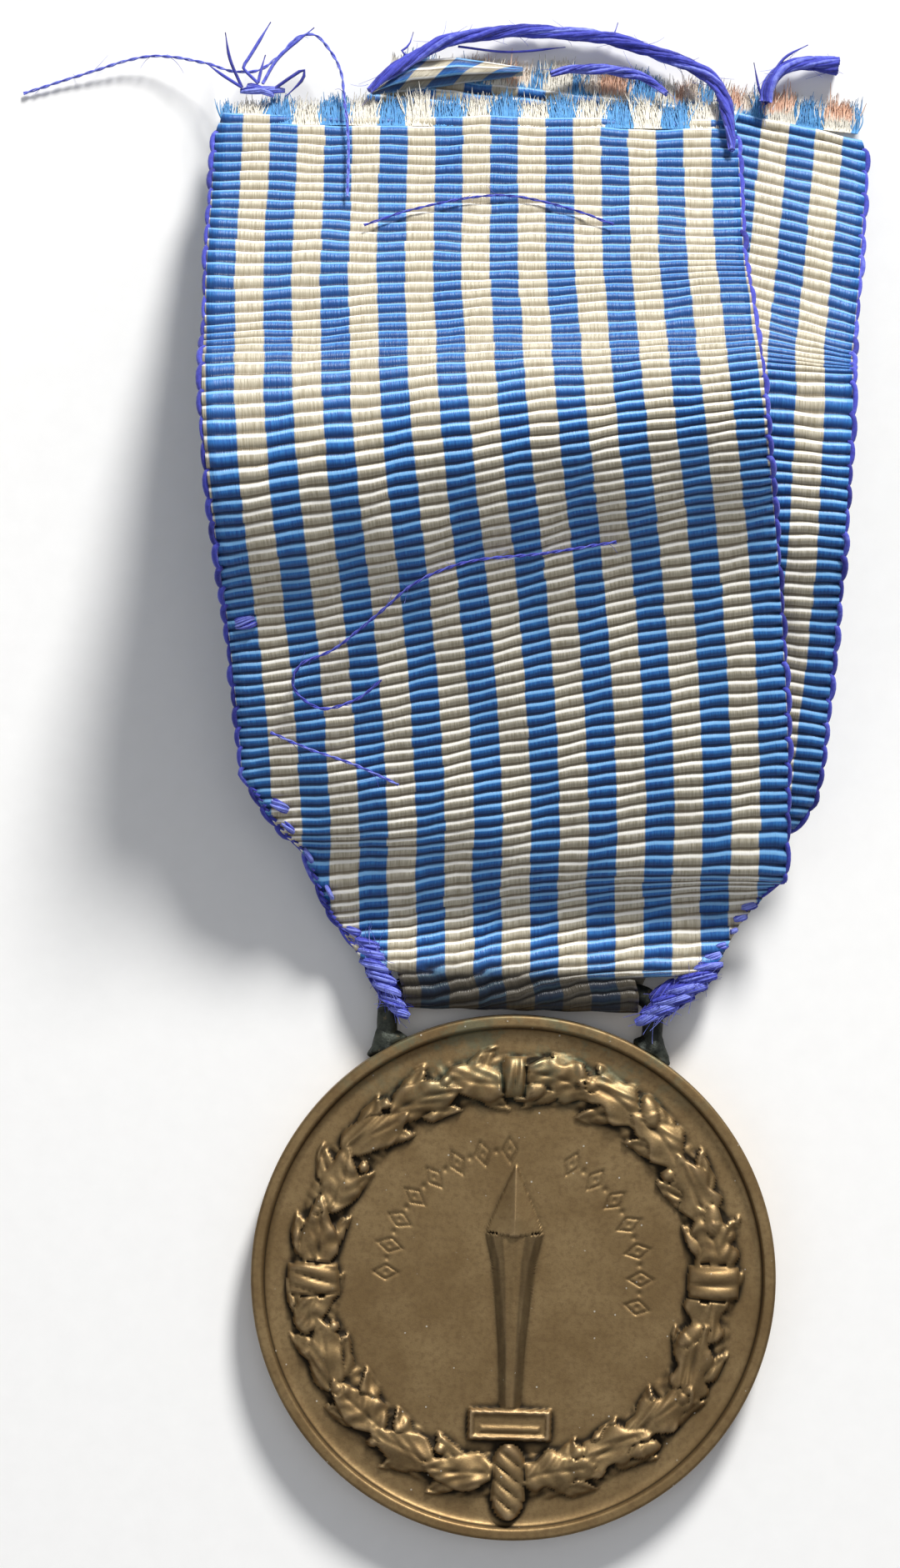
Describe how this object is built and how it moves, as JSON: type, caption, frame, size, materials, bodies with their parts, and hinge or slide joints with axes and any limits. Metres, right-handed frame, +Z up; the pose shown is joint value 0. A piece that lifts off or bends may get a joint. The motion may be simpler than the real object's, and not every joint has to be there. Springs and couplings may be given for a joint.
{
  "type": "military service medal",
  "caption": "Round bronze medal with a wreath and sword in relief, hung by a soldered wire loop from a folded striped ribbon with frayed ends.",
  "frame": {"origin": "centre of the underside of the medal and its ribbon, with the long loose yarn left out", "axes": "+X right, +Y from the disc to the ribbon's cut end, +Z up out of the disc's face"},
  "size_m": [0.0588, 0.1042, 0.0172],
  "materials": {
    "bronze": "struck bronze, worn and lightly patinated",
    "dark_bronze": "dark greenish patina",
    "ribbon_cloth": "ribbed weave, narrow blue and white stripes",
    "weft_yarn": "soft violet blue yarn"
  },
  "bodies": {
    "ribbon": {"ribbon_front_ply": "ribbon_cloth", "ribbon_back_ply": "ribbon_cloth", "ribbon_bar_sleeve": "ribbon_cloth", "left_corner_fold": "ribbon_cloth", "right_corner_fold": "ribbon_cloth", "front_top_fringe": "ribbon_cloth", "back_top_fringe": "ribbon_cloth", "front_left_selvedge": "weft_yarn", "front_right_selvedge": "weft_yarn", "back_left_selvedge": "weft_yarn", "back_right_selvedge": "weft_yarn", "left_corner_stitching": "weft_yarn", "right_corner_stitching": "weft_yarn", "outer_yarn_loop": "weft_yarn", "inner_yarn_loop": "weft_yarn", "right_yarn_tail": "weft_yarn", "long_loose_strand": "weft_yarn", "front_arch_strand": "weft_yarn", "front_curl_strand": "weft_yarn", "front_low_strand": "weft_yarn", "left_yarn_tuft": "weft_yarn"},
    "medal": {"medal_disc": "bronze", "suspension_loop": "dark_bronze", "left_solder_joint": "dark_bronze", "right_solder_joint": "dark_bronze"}
  },
  "joints": [
    {"name": "medal_swing", "type": "hinge", "parent": "ribbon", "child": "medal", "pos_m": [0.00013, -0.01385, 0.0015], "axis": [1, 0, 0], "range_deg": [-90, 90]}
  ]
}
